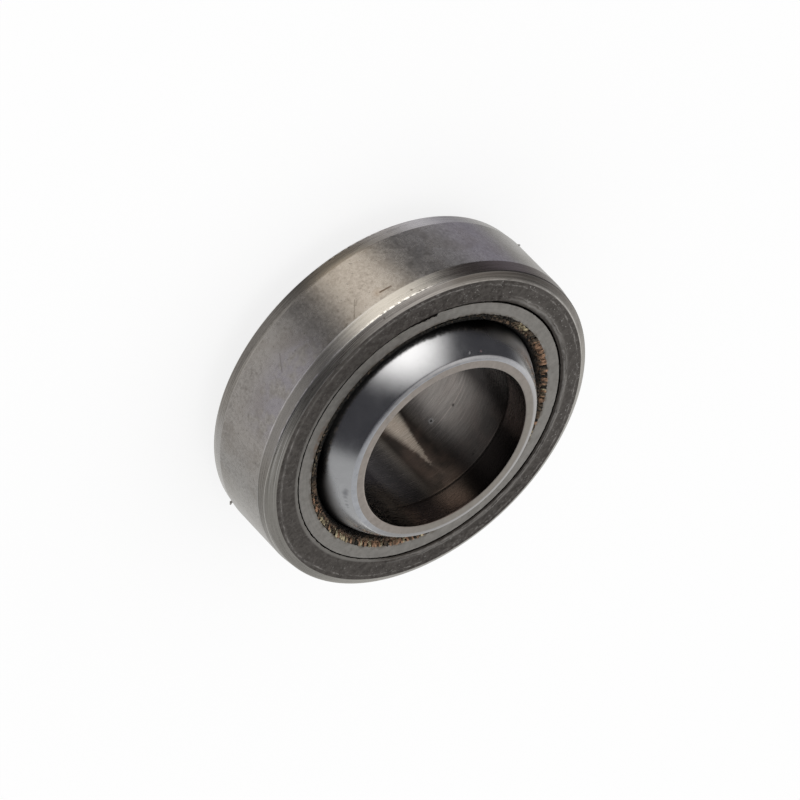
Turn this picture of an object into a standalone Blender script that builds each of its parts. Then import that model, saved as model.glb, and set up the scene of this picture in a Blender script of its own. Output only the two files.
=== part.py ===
"""Self-lining spherical plain bearing: an inner ring with a ball-shaped outside, a woven liner,
a thin race that wraps the ball, and an outer sleeve with tapered corners.

All pieces are turned about the bore axis, which is +Z. The origin is the centre of the ball.
Lengths are in metres.
"""

import math

import bpy

MM = 0.001

# Inner ring
BORE_DIAMETER = 20.0 * MM
INNER_RING_WIDTH = 16.7 * MM
FACE_LAND = 1.03 * MM
RIM_BEVEL_WIDTH = 0.4 * MM
RIM_BEVEL_DEPTH = 0.15 * MM
BORE_EDGE_BEVEL = 0.05 * MM

# Liner
RUNNING_CLEARANCE = 0.12 * MM
LINER_THICKNESS = 1.2 * MM
LINER_END_LAND = 0.65 * MM
LINER_END_RECESS = 0.25 * MM
BOND_GAP = 0.08 * MM

# Race
RACE_WALL = 0.64 * MM
RACE_LIP_BEVEL = 0.12 * MM
RACE_OUTER_BEVEL = 0.10 * MM

# Outer sleeve
SEAT_CLEARANCE = 0.15 * MM
SLEEVE_WALL = 3.70 * MM
SLEEVE_WIDTH = 10.9 * MM
SLEEVE_SEAT_BEVEL = 0.18 * MM
CORNER_BEVEL_WIDTH = 0.88 * MM
CORNER_BEVEL_DEPTH = 0.50 * MM
TAPER_DROP = 0.20 * MM
TAPER_LENGTH = 1.50 * MM

# Facets
TURN_STEPS = 72
ARC_STEP_DEGREES = 6.0
CORNER_ANGLE_DEGREES = 20.0
MERGE_DISTANCE = 0.01 * MM

# Radii that follow from the sizes above
bore_radius = BORE_DIAMETER / 2
ring_half_width = INNER_RING_WIDTH / 2
sleeve_half_width = SLEEVE_WIDTH / 2
land_radius = bore_radius + BORE_EDGE_BEVEL + FACE_LAND
ball_edge_radius = land_radius + RIM_BEVEL_WIDTH
ball_edge_height = ring_half_width - RIM_BEVEL_DEPTH
ball_radius = math.hypot(ball_edge_radius, ball_edge_height)
liner_inner_radius = ball_radius + RUNNING_CLEARANCE
liner_outer_radius = liner_inner_radius + LINER_THICKNESS
race_bore_radius = liner_outer_radius + BOND_GAP
race_outer_radius = race_bore_radius + RACE_WALL
seat_radius = race_outer_radius + SEAT_CLEARANCE
sleeve_outer_radius = seat_radius + SLEEVE_WALL


def radius_on_sphere(sphere_radius, height):
    """Distance from the axis of a sphere's surface at a height above its centre."""
    return math.sqrt(sphere_radius ** 2 - height ** 2)


def sphere_arc(sphere_radius, start_height, end_height):
    """Profile points on a sphere from one height to another, both ends included."""
    start = math.asin(start_height / sphere_radius)
    end = math.asin(end_height / sphere_radius)
    steps = max(2, math.ceil(abs(end - start) / math.radians(ARC_STEP_DEGREES)))
    angles = [start + (end - start) * i / steps for i in range(steps + 1)]
    return [(sphere_radius * math.cos(a), sphere_radius * math.sin(a)) for a in angles]


def mirrored(upper_half):
    """An upper half profile, followed by its mirror image below the middle plane."""
    return upper_half + [(radius, -height) for radius, height in reversed(upper_half)]


def new_collection(name):
    collection = bpy.data.collections.new(name)
    bpy.context.scene.collection.children.link(collection)
    return collection


def metal(name, colour, roughness):
    """A bare or treated steel surface."""
    return surface(name, colour, roughness, metallic=1.0)


def surface(name, colour, roughness, metallic):
    material = bpy.data.materials.new(name)
    material.use_nodes = True
    shader = material.node_tree.nodes["Principled BSDF"]
    shader.inputs["Base Color"].default_value = (*colour, 1.0)
    shader.inputs["Roughness"].default_value = roughness
    shader.inputs["Metallic"].default_value = metallic
    return material


def turned_ring(name, profile, material, collection, parent):
    """A closed ring from a profile in the XZ plane, turned about Z.

    The profile is a closed loop that runs down the outer side and up the inner side.
    """
    mesh = bpy.data.meshes.new(name + "_profile")
    points = [(radius, 0.0, height) for radius, height in profile]
    edges = [(i, (i + 1) % len(points)) for i in range(len(points))]
    mesh.from_pydata(points, edges, [])
    ring = bpy.data.objects.new(name, mesh)
    collection.objects.link(ring)
    ring.parent = parent

    turn = ring.modifiers.new("Turn", "SCREW")
    turn.axis = "Z"
    turn.angle = 2 * math.pi
    turn.screw_offset = 0.0
    turn.steps = TURN_STEPS
    turn.render_steps = TURN_STEPS
    turn.use_merge_vertices = True
    turn.merge_threshold = MERGE_DISTANCE
    keep_turned_mesh(ring)
    ring.data.materials.append(material)


def keep_turned_mesh(ring):
    """Replaces the profile and its modifier by the turned mesh, smooth apart from its corners."""
    graph = bpy.context.evaluated_depsgraph_get()
    turned = bpy.data.meshes.new_from_object(ring.evaluated_get(graph))
    turned.name = ring.name
    turned.shade_smooth()
    turned.set_sharp_from_angle(angle=math.radians(CORNER_ANGLE_DEGREES))
    profile = ring.data
    ring.modifiers.clear()
    ring.data = turned
    bpy.data.meshes.remove(profile)


def outer_sleeve_profile():
    """The housing sleeve: a flat-faced ring whose outer corners have a bevel and a slight taper."""
    outer = [
        (sleeve_outer_radius - TAPER_DROP - CORNER_BEVEL_WIDTH, sleeve_half_width),
        (sleeve_outer_radius - TAPER_DROP, sleeve_half_width - CORNER_BEVEL_DEPTH),
        (sleeve_outer_radius, sleeve_half_width - CORNER_BEVEL_DEPTH - TAPER_LENGTH),
    ]
    inner = [
        (seat_radius + SLEEVE_SEAT_BEVEL, sleeve_half_width),
        (seat_radius, sleeve_half_width - SLEEVE_SEAT_BEVEL),
    ]
    return mirrored(outer) + list(reversed(mirrored(inner)))


def race_insert_profile():
    """The race: a plain cylinder outside, a spherical bore inside, flush with the sleeve."""
    outer = [
        (race_outer_radius - RACE_OUTER_BEVEL, sleeve_half_width),
        (race_outer_radius, sleeve_half_width - RACE_OUTER_BEVEL),
    ]
    lip_height = sleeve_half_width - RACE_LIP_BEVEL
    lip_radius = radius_on_sphere(race_bore_radius, lip_height)
    bore = sphere_arc(race_bore_radius, -lip_height, lip_height)
    lower_lip = [(lip_radius + RACE_LIP_BEVEL, -sleeve_half_width)]
    upper_lip = [(lip_radius + RACE_LIP_BEVEL, sleeve_half_width)]
    return mirrored(outer) + lower_lip + bore + upper_lip


def fabric_liner_profile():
    """The woven liner: an even shell round the ball whose two mouths open in a bevel."""
    end_height = sleeve_half_width - LINER_END_RECESS
    outer = sphere_arc(liner_outer_radius, end_height, -end_height)
    land_inner_radius = outer[0][0] - LINER_END_LAND
    mouth_rise = land_inner_radius - radius_on_sphere(liner_inner_radius, end_height)
    mouth_height = end_height - mouth_rise
    lower_land = [(land_inner_radius, -end_height)]
    inner = sphere_arc(liner_inner_radius, -mouth_height, mouth_height)
    upper_land = [(land_inner_radius, end_height)]
    return outer + lower_land + inner + upper_land


def inner_ring_profile():
    """The inner ring: a straight bore, two flat faces, and an outside that is part of a ball."""
    outside = sphere_arc(ball_radius, ball_edge_height, -ball_edge_height)
    lower_face = [
        (land_radius, -ring_half_width),
        (bore_radius + BORE_EDGE_BEVEL, -ring_half_width),
    ]
    bore = [
        (bore_radius, -ring_half_width + BORE_EDGE_BEVEL),
        (bore_radius, ring_half_width - BORE_EDGE_BEVEL),
    ]
    upper_face = [
        (bore_radius + BORE_EDGE_BEVEL, ring_half_width),
        (land_radius, ring_half_width),
    ]
    return outside + lower_face + bore + upper_face


def build():
    for old in list(bpy.data.objects):
        bpy.data.objects.remove(old, do_unlink=True)
    collection = new_collection("spherical_plain_bearing")

    ball_centre = bpy.data.objects.new("ball_centre", None)
    collection.objects.link(ball_centre)

    sleeve_steel = metal("sleeve_steel", (0.21, 0.19, 0.17), 0.38)
    race_steel = metal("race_steel", (0.50, 0.48, 0.45), 0.42)
    ball_steel = metal("ball_steel", (0.62, 0.62, 0.63), 0.12)
    liner_fabric = surface("liner_fabric", (0.24, 0.13, 0.06), 0.8, metallic=0.0)

    turned_ring("outer_sleeve", outer_sleeve_profile(), sleeve_steel, collection, ball_centre)
    turned_ring("race_insert", race_insert_profile(), race_steel, collection, ball_centre)
    turned_ring("fabric_liner", fabric_liner_profile(), liner_fabric, collection, ball_centre)
    turned_ring("inner_ring", inner_ring_profile(), ball_steel, collection, ball_centre)


build()
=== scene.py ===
"""The looks of the spherical plain bearing: finely turned pieces, worn steel and a frayed liner.

Everything is in metres in the part's own frame: the bore axis is +Z and the ball's centre is the
origin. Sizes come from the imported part. An angle round the bearing is measured from +X towards -Y,
which is anticlockwise in the photograph, with 90 degrees on the side nearest the camera.
"""

import math
import random

import bpy
from mathutils import Matrix, Vector, noise


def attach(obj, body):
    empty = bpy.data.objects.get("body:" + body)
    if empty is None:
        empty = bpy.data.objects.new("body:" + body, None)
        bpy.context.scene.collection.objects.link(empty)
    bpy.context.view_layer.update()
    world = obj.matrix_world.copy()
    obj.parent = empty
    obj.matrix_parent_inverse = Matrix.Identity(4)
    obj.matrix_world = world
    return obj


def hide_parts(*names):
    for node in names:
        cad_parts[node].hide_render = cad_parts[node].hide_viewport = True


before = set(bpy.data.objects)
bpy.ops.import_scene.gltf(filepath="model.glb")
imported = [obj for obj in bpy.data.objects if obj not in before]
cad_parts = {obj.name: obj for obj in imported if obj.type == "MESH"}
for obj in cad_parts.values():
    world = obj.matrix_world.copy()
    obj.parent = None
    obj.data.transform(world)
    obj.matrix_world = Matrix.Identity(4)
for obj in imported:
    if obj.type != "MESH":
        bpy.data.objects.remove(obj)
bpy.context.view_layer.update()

MM = 0.001

# The photographer's camera
IMAGE_SIDE_PX = 800
PX_PER_MM = 9.67
CAMERA_DISTANCE = 966.0 * MM
CAMERA_ELEVATION = math.radians(36.86)
CAMERA_ROLL = math.radians(136.08)
OBJECT_CENTRE_PX = (400.5, 400.8)
SENSOR_WIDTH_MM = 36.0

# The studio: each patch has an aim, as azimuth from the camera towards its right and elevation, and
# the distances from it between which it fades, in degrees, then a colour. It covers earlier ones.
STUDIO_PATCHES = {
    "table": ((-163, -60), (54, 70), (0.47, 0.475, 0.48)),
    "low_card": ((27, 20), (10, 30), (0.34, 0.34, 0.345)),
    "right_card": ((66, -13), (8, 40), (0.72, 0.69, 0.66)),
    "right_wall": ((127, -19), (11, 35), (0.84, 0.83, 0.82)),
    "left_wall": ((-98, 6), (26, 46), (0.52, 0.51, 0.51)),
    "backdrop": ((176, -6), (16, 58), (0.70, 0.70, 0.69)),
    "violet_patch": ((151, 44), (8, 19), (0.36, 0.35, 0.43)),
    "violet_top": ((-178, 58), (10, 21), (0.78, 0.78, 0.85)),
    "warm_edge": ((-60, 68), (6, 24), (0.88, 0.75, 0.59)),
}
SOFTBOX_AIM = (0, 49.5)
SOFTBOX_SPREAD = (8, 48)
SOFTBOX_COLOUR = (1.78, 1.76, 1.74)
ROOM_COLOUR = (0.055, 0.055, 0.062)
WHITE = (1.0, 1.0, 1.0)
# The light on matt surfaces away from the softbox and in it
SOFT_LIGHT = (1.0, 1.6)
FLOOR_REACH = 3.0
FLOOR_MATT_SHARE = 0.18

# Turned meshes
FINE_STEPS = 720
STEPS = 360
ARC_STEP = math.radians(1.5)
SLEEVE_ROUNDINGS = (0.05 * MM, 0.12 * MM, 0.10 * MM)
LIP_ROUNDING = 0.07 * MM
RACE_ROUNDINGS = (0.04 * MM, 0.05 * MM)
RING_ROUNDINGS = (0.24 * MM, 0.14 * MM)
BORE_ROUNDINGS = (0.09 * MM, 0.09 * MM, 0.02 * MM)

# Wear on the sleeve, and painted light and shade at the seat's edge: angles in degrees, heights, radii
# and sizes in mm
ROLLED_LIP = (150, 322)
ROLLED_LIP_END = 17.45
LIP_CREST = 16.86
INNER_RIDGE = (16.66, 16.90)
OUTER_RIDGE = (17.08, 17.16)
RUBBED_LINE = (18.34, 18.50)
RUBBED_SKIRT = (18.30, 18.54)
SEAT_EDGE_HIGHLIGHT = (16.50, 16.75)
GAP_SHADE = (16.46, 16.62)
WIDE_GAP_SHADE = (16.56, 16.80)
GOUGE = ((107.7, 2.50), (111.9, 2.60))
GOUGE_HALO = (107.2, 2.40)
HAIR_SCRATCHES = (
    ((100.9, 1.41), (96.8, 3.34)), ((101.2, 1.62), (99.8, 2.17)),
    ((94.6, 3.20), (90.2, 3.75)), ((70.5, 1.10), (74.0, -0.60)),
)
# Angle, height, radius and size
CORNER_NICKS = ((115.7, 4.24, 19.87, 0.13), (117.6, 4.76, 19.80, 0.09), (103.8, 5.15, 19.40, 0.11))
# Name and thickness, then the path as points of angle, height and radius
SLEEVE_BURRS = (
    ("sleeve_burr_low", 0.15, (6.4, -4.1, 19.70), (5.2, -4.40, 20.02), (3.9, -4.60, 20.18)),
    ("sleeve_burr_high", 0.11, (178.3, -3.70, 19.85), (178.9, -3.62, 20.02), (179.2, -3.55, 20.12)),
)

# Wear on the race: a burr and a chip by angle, then by radius stain, dust, and painted shade on its
# outer side
RACE_BURR = (123.4, 126.4)
RACE_CHIP = (104, 122.8)
RACE_STAIN = (14.95, 15.35)
RACE_DUST = (14.80, 15.05)
RACE_SIDE_SHADE = (15.7, 15.8)

# Wear on the ball: angle, height, size and share of each blot, then angles and heights
BALL_SMUDGE = (
    (28.5, 7.68, 0.26, 0.45), (26.3, 7.58, 0.30, 0.60), (23.5, 7.54, 0.22, 0.40),
    (20.5, 7.55, 0.15, 0.30), (17.6, 7.55, 0.17, 0.50), (15.6, 7.56, 0.12, 0.35),
)
BALL_SPECK = (143.5, 7.80)
BALL_NICK = ((137.6, 7.50), (135.2, 8.05))

# The bore's shoulder, and where it starts and ends to widen
BORE_SHOULDER_HEIGHT = 5.1 * MM
SHOULDER_START = -0.14 * MM
SHOULDER_END = 0.10 * MM
LEAD_IN = 0.02 * MM

# Wear in the bore: angle, height and size of each spot, a ring-shaped spot, the angle of a wedge of
# painted reflection, and a drag mark
BORE_SPOTS = ((260.8, 4.12, 0.13), (258.6, 4.05, 0.08), (286.8, 4.17, 0.12), (248.6, -1.84, 0.16))
BORE_RING = (265.2, -2.81)
REFLECTION_WEDGE_ANGLE = 284
DRAG_MARK = (-1.97, -1.88)

# Yarn
TUFT_COUNT = 370
TUFT_FIBRES = 3
STUB_COUNT = 600
YARN_SEED = 7
YARN_COLOURS = {
    "yarn_tan": ((0.16, 0.128, 0.072), (0.50, 0.43, 0.28)),
    "yarn_orange": ((0.13, 0.072, 0.042), (0.42, 0.25, 0.155)),
    "yarn_brown": ((0.040, 0.028, 0.018), (0.135, 0.098, 0.062)),
    "yarn_painted_shade": ((0.006, 0.005, 0.004), (0.034, 0.028, 0.019)),
}
# The fringe by angle: depth and overlap in mm, then the shares of tan, orange, brown and dark yarn,
# whose near black is painted shade
FRINGE = (
    (0, 0.62, 0.10, 0.28, 0.14, 0.30, 0.28),
    (9, 0.55, 0.10, 0.30, 0.16, 0.30, 0.24),
    (13, 0.50, 0.08, 0.12, 0.40, 0.32, 0.16),
    (24, 0.42, 0.08, 0.06, 0.34, 0.40, 0.20),
    (30, 0.38, 0.10, 0.02, 0.06, 0.52, 0.40),
    (50, 0.30, 0.12, 0.00, 0.05, 0.45, 0.50),
    (66, 0.24, 0.03, 0.00, 0.00, 0.20, 0.80),
    (95, 0.22, 0.02, 0.00, 0.00, 0.10, 0.90),
    (118, 0.22, 0.03, 0.00, 0.00, 0.08, 0.92),
    (130, 0.30, 0.18, 0.00, 0.00, 0.10, 0.90),
    (145, 0.34, 0.24, 0.00, 0.00, 0.16, 0.84),
    (164, 0.50, 0.22, 0.00, 0.02, 0.38, 0.60),
    (168, 0.62, 0.18, 0.42, 0.02, 0.42, 0.14),
    (176, 0.70, 0.15, 0.42, 0.02, 0.42, 0.14),
    (179, 0.75, 0.12, 0.00, 0.10, 0.42, 0.48),
    (186, 0.85, 0.12, 0.00, 0.15, 0.40, 0.45),
    (190, 0.90, 0.12, 0.06, 0.70, 0.22, 0.02),
    (203, 0.85, 0.12, 0.14, 0.52, 0.31, 0.03),
    (206, 0.85, 0.12, 0.00, 0.20, 0.42, 0.38),
    (211, 0.80, 0.10, 0.15, 0.55, 0.27, 0.03),
    (216, 0.75, 0.08, 0.05, 0.10, 0.45, 0.40),
    (221, 0.70, 0.08, 0.35, 0.45, 0.15, 0.05),
    (228, 0.60, 0.08, 0.00, 0.20, 0.40, 0.40),
    (299, 0.50, 0.06, 0.00, 0.10, 0.40, 0.50),
    (306, 0.55, 0.10, 0.28, 0.50, 0.18, 0.04),
    (320, 0.75, 0.12, 0.32, 0.50, 0.14, 0.04),
    (345, 0.70, 0.12, 0.28, 0.36, 0.22, 0.14),
    (360, 0.62, 0.10, 0.28, 0.14, 0.30, 0.28),
)


def corner_points(node):
    """The upper corners of a node's turned profile as (radius, height), innermost first."""
    found = []
    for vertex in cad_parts[node].data.vertices:
        point = (math.hypot(vertex.co.x, vertex.co.y), vertex.co.z)
        if point[1] > 0 and all(math.dist(point, other) > 0.01 * MM for other in found):
            found.append(point)
    return sorted(found)


def on_face(points):
    """The corners that lie on a piece's flat end face, innermost first."""
    top = max(height for radius, height in points)
    return [point for point in points if top - point[1] < 0.001 * MM]


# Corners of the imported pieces, as (radius, height)
SEAT, SEAT_FACE, FACE_EDGE, BEVEL_EDGE, TAPER_EDGE = corner_points("outer_sleeve")
HALF_WIDTH = FACE_EDGE[1]
race_corners = corner_points("race_insert")
RACE_LIP = race_corners[0]
RACE_LIP_FACE, RACE_OUTER_FACE = on_face(race_corners)
RACE_OUTER = race_corners[-1]
liner_corners = corner_points("fabric_liner")
LINER_MOUTH = liner_corners[0]
LINER_LAND_INNER, LINER_LAND_OUTER = on_face(liner_corners)
ring_corners = corner_points("inner_ring")
BORE_FACE, LAND_EDGE = on_face(ring_corners)
BALL_EDGE = next(point for point in ring_corners if point[0] > LAND_EDGE[0])
BORE_RADIUS = ring_corners[0][0]
BALL_RADIUS = math.hypot(*BALL_EDGE)


# Profiles


def radius_on_sphere(sphere_radius, height):
    """Distance from the axis of a sphere's surface at a height above its centre."""
    return math.sqrt(sphere_radius ** 2 - height ** 2)


def sphere_arc(sphere_radius, start_height, end_height):
    """Profile points on a sphere from one height to another."""
    start = math.asin(start_height / sphere_radius)
    end = math.asin(end_height / sphere_radius)
    steps = max(2, math.ceil(abs(end - start) / ARC_STEP))
    angles = [start + (end - start) * i / steps for i in range(steps + 1)]
    return [(sphere_radius * math.cos(a), sphere_radius * math.sin(a)) for a in angles]


def rounded(corners, sizes, steps=5):
    """A profile whose inner corners are rounded off, each by its own size."""
    points = [corners[0]]
    for before, here, after, size in zip(corners, corners[1:], corners[2:], sizes):
        a, b, c = (Vector(point) for point in (before, here, after))
        reach = min(size, (a - b).length * 0.48, (c - b).length * 0.48)
        start = b + (a - b).normalized() * reach
        end = b + (c - b).normalized() * reach
        for i in range(steps + 1):
            t = i / steps
            points.append(tuple(start * (1 - t) ** 2 + b * 2 * t * (1 - t) + end * t ** 2))
    points.append(corners[-1])
    return points


def divided(points, longest):
    """The same profile with extra points on its straight stretches."""
    result = [points[0]]
    for a, b in zip(points, points[1:]):
        parts = max(1, math.ceil(math.dist(a, b) / longest))
        result += [tuple(Vector(a).lerp(Vector(b), i / parts)) for i in range(1, parts + 1)]
    return result


def flipped(points):
    """The mirror image of a profile below the middle plane, run the other way."""
    return [(radius, -height) for radius, height in reversed(points)]


def turned(name, profile, materials, pick, steps, shape=None):
    """A ring turned from a closed profile that runs down the outside and up the inside.

    The pick function gives the index of the material at a radius and height. A shape function may
    move each point: it takes the radius, height and angle, and returns the new radius and height.
    """
    count = len(profile)
    vertices = []
    for step in range(steps):
        angle = 2 * math.pi * step / steps
        for radius, height in profile:
            r, z = shape(radius, height, angle) if shape else (radius, height)
            vertices.append((r * math.cos(angle), -r * math.sin(angle), z))
    slots = []
    for a, b in zip(profile, profile[1:] + profile[:1]):
        slots.append(pick((a[0] + b[0]) / 2, (a[1] + b[1]) / 2))
    faces = []
    for step in range(steps):
        here = step * count
        there = (step + 1) % steps * count
        for i in range(count):
            j = (i + 1) % count
            faces.append((here + i, there + i, there + j, here + j))
    return new_object(name, vertices, faces, materials, slots * steps)


def new_object(name, vertices, faces, materials, slots):
    """A smooth mesh in the scene. The slots give each face the index of its material."""
    mesh = bpy.data.meshes.new(name)
    mesh.from_pydata(vertices, [], faces)
    for material in materials:
        mesh.materials.append(material)
    mesh.polygons.foreach_set("material_index", slots)
    mesh.shade_smooth()
    mesh.update()
    made = bpy.data.objects.new(name, mesh)
    bpy.context.scene.collection.objects.link(made)
    return made


def seat_on(piece, body, slot, *nodes):
    """Rides a piece on a body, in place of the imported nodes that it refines."""
    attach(piece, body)
    if nodes:
        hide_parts(*nodes)


def step_between(value, low, high):
    """A smooth rise from zero at low to one at high."""
    t = min(1.0, max(0.0, (value - low) / (high - low)))
    return t * t * (3 - 2 * t)


def window(value, low, high, soft):
    """One between low and high, with soft edges."""
    rise = step_between(value, low - soft, low + soft)
    return rise * (1 - step_between(value, high - soft, high + soft))


def ragged(angle, per_turn, offset):
    """Noise that runs round the ring without a seam."""
    reach = per_turn / (2 * math.pi)
    return noise.noise(Vector((math.cos(angle) * reach, math.sin(angle) * reach, offset)))


# Node helpers


class Nodes:
    """A node tree, with short ways to add the nodes used here."""

    def __init__(self, tree):
        self.tree = tree

    def add(self, kind, **settings):
        node = self.tree.nodes.new(kind)
        for key, value in settings.items():
            setattr(node, key, value)
        return node

    def put(self, value, socket):
        """Sets a socket to a number or colour, or links it to another node's output."""
        if isinstance(value, bpy.types.NodeSocket):
            self.tree.links.new(value, socket)
        elif socket.type == "RGBA":
            socket.default_value = (*value[:3], 1.0)
        else:
            socket.default_value = value

    def filled(self, kind, values, **settings):
        """A node whose first sockets take the values."""
        node = self.add(kind, **settings)
        for value, socket in zip(values, node.inputs):
            self.put(value, socket)
        return node

    def math(self, operation, a, b=0.0):
        return self.filled("ShaderNodeMath", (a, b), operation=operation).outputs[0]

    def measure(self, operation, a, b=(0.0, 0.0, 0.0)):
        """A number from one or two vectors, such as their distance."""
        return self.filled("ShaderNodeVectorMath", (a, b), operation=operation).outputs["Value"]

    def ramp(self, value, low, high, to_low=0.0, to_high=1.0):
        """A smooth step of value from low to high."""
        values = (value, low, high, to_low, to_high)
        return self.filled("ShaderNodeMapRange", values, interpolation_type="SMOOTHSTEP").outputs[0]

    def fade(self, value, low, high, share=1.0):
        """The share up to low, and smoothly less until it is zero at high."""
        return self.ramp(value, low, high, share, 0.0)

    def band(self, value, low, high, soft):
        """One inside low to high, and zero outside, with soft edges."""
        rise = self.ramp(value, low - soft, low + soft)
        return self.times(rise, self.fade(value, high - soft, high + soft))

    def mix(self, factor, a, b):
        """The colour a, as far as the factor is zero, and b where it is one."""
        node = self.add("ShaderNodeMix", data_type="RGBA")
        self.put(factor, node.inputs["Factor"])
        self.put(a, node.inputs[6])
        self.put(b, node.inputs[7])
        return node.outputs[2]

    def times(self, *factors):
        product = factors[0]
        for factor in factors[1:]:
            product = self.math("MULTIPLY", product, factor)
        return product

    def plus(self, a, b):
        return self.math("ADD", a, b)

    def minus(self, a, b):
        return self.math("SUBTRACT", a, b)

    def larger(self, a, b):
        return self.math("MAXIMUM", a, b)

    def vector(self, x, y, z):
        return self.filled("ShaderNodeCombineXYZ", (x, y, z)).outputs[0]


class Surface(Nodes):
    """A material's nodes, with the place on the piece in mm, and the tone that is painted so far.

    The place is also given as a radius and height, a level above or below the middle plane, and the
    cosine and sine of the angle round the bearing.
    """

    def __init__(self, name, metallic):
        self.material = bpy.data.materials.new(name)
        self.material.use_nodes = True
        super().__init__(self.material.node_tree)
        self.shader = self.tree.nodes["Principled BSDF"]
        self.shader.inputs["Metallic"].default_value = metallic
        in_mm = self.add("ShaderNodeVectorMath", operation="SCALE")
        self.put(self.add("ShaderNodeTexCoord").outputs["Object"], in_mm.inputs[0])
        in_mm.inputs["Scale"].default_value = 1 / MM
        x, y, self.height = self.filled("ShaderNodeSeparateXYZ", in_mm.outputs).outputs
        self.place = in_mm.outputs[0]
        self.level = self.math("ABSOLUTE", self.height)
        self.radius = self.math("SQRT", self.plus(self.times(x, x), self.times(y, y)))
        self.cosine = self.math("DIVIDE", x, self.radius)
        self.sine = self.math("DIVIDE", y, self.radius)
        self.tone = None

    def paint(self, colour, *shares):
        """Lays a colour over the tone, as far as the shares together allow."""
        self.tone = self.mix(self.times(*shares), self.tone, colour)

    def noise(self, scale, detail=3.0, roughness=0.6, distortion=0.0, at=None):
        """Cloudy noise over the piece, or at another vector."""
        node = self.add("ShaderNodeTexNoise")
        names = ("Vector", "Scale", "Detail", "Roughness", "Distortion")
        vector = self.place if at is None else at
        for name, value in zip(names, (vector, scale, detail, roughness, distortion)):
            self.put(value, node.inputs[name])
        return node.outputs["Fac"]

    def streaks(self, across, along, fineness, detail=4.0, roughness=0.7):
        """Noise drawn out round the bearing, as a lathe or grinding wheel leaves it."""
        x = self.times(self.cosine, along)
        y = self.times(self.sine, along)
        z = self.times(across, fineness)
        return self.noise(1.0, detail, roughness, at=self.vector(x, y, z))

    def nearness(self, degrees):
        """The cosine of the angle round the bearing from a given one."""
        angle = math.radians(degrees)
        x = self.times(self.cosine, math.cos(angle))
        y = self.times(self.sine, -math.sin(angle))
        return self.plus(x, y)

    def facing(self, degrees, inner, outer):
        """One near an angle round the bearing, fading to zero between two distances in degrees."""
        far = math.cos(math.radians(outer))
        near = math.cos(math.radians(inner))
        return self.ramp(self.nearness(degrees), far, near)

    def spot(self, degrees, height, radius, size, soft=0.5):
        """One near a point of the surface, with a soft edge."""
        away = self.measure("DISTANCE", self.place, surface_point(degrees, height, radius))
        return self.fade(away, size * (1 - soft), size * (1 + soft))

    def scratch(self, start, end, width, radius):
        """One on a thin line between two (angle, height) points at a radius, in degrees and mm."""
        a, b = (Vector(surface_point(*point, radius)) for point in (start, end))
        offset = self.filled("ShaderNodeVectorMath", (self.place, a), operation="SUBTRACT").outputs[0]
        reach = self.measure("DOT_PRODUCT", offset, (b - a).normalized())
        square = self.math("POWER", self.measure("LENGTH", offset), 2.0)
        beside = self.minus(square, self.math("POWER", reach, 2.0))
        aside = self.math("SQRT", self.larger(beside, 0.0))
        line = self.fade(aside, width * 0.5, width * 1.3)
        return self.times(line, self.band(reach, 0.0, (b - a).length, width))

    def finish(self, roughness, relief, strength, distance):
        """The material, once its shader has the tone, a roughness and a relief this many mm high."""
        self.put(self.tone, self.shader.inputs["Base Color"])
        self.put(roughness, self.shader.inputs["Roughness"])
        bump = self.add("ShaderNodeBump")
        bump.inputs["Strength"].default_value = strength
        bump.inputs["Distance"].default_value = distance * MM
        self.put(relief, bump.inputs["Height"])
        self.put(bump.outputs[0], self.shader.inputs["Normal"])
        return self.material


def surface_point(degrees, height, radius):
    """A point in mm at an angle round the bearing."""
    angle = math.radians(degrees)
    return (radius * math.cos(angle), -radius * math.sin(angle), height)


# Materials


def sleeve_outside_steel():
    """Ground outside: satin steel, mottled and pitted, with fine scratches and a dark gouge."""
    s = Surface("sleeve_outside_steel", 1.0)
    grain = s.streaks(s.height, 60.0, 9.0, 3.0)
    fine = s.noise(2.6, 6.0, 0.75)
    mottle = s.noise(0.45, 5.0, 0.6, 0.3)
    stain = s.ramp(s.noise(0.22, 3.0, 0.55, 0.8), 0.48, 0.66)
    pits = s.ramp(s.noise(3.4, 2.0, 0.5), 0.69, 0.75)
    s.tone = s.mix(s.ramp(mottle, 0.32, 0.68), (0.355, 0.335, 0.31), (0.455, 0.43, 0.40))
    s.paint((0.53, 0.505, 0.475), s.ramp(fine, 0.40, 0.62, 0.0, 0.80))
    s.paint((0.22, 0.20, 0.175), s.fade(fine, 0.30, 0.43, 0.70))
    blush = s.ramp(mottle, 0.38, 0.55, 0.05, 0.45)
    s.paint((0.40, 0.38, 0.46), s.facing(68, 6, 22), s.ramp(s.height, -2.5, 1.5), blush)
    s.paint((0.30, 0.265, 0.22), stain, 0.30)
    s.paint((0.12, 0.105, 0.09), pits, 0.55)
    outside = TAPER_EDGE[0] / MM
    s.paint((0.36, 0.27, 0.19), s.spot(*GOUGE_HALO, outside, 0.45, 0.9), 0.30)
    gouge = s.times(s.scratch(*GOUGE, 0.12, outside), s.ramp(fine, 0.35, 0.55, 0.5, 0.9))
    s.paint((0.13, 0.095, 0.07), gouge)
    for start, end in HAIR_SCRATCHES:
        hair = s.times(s.scratch(start, end, 0.07, outside), s.ramp(fine, 0.4, 0.6, 0.3, 0.65))
        s.paint((0.15, 0.13, 0.11), hair)
    rough = s.plus(s.plus(s.times(mottle, 0.14), s.times(fine, 0.12)), 0.13)
    relief = s.plus(s.times(grain, 0.35), s.times(fine, 0.5))
    relief = s.minus(relief, s.plus(pits, gouge))
    return s.finish(rough, relief, 0.22, 0.02)


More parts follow.
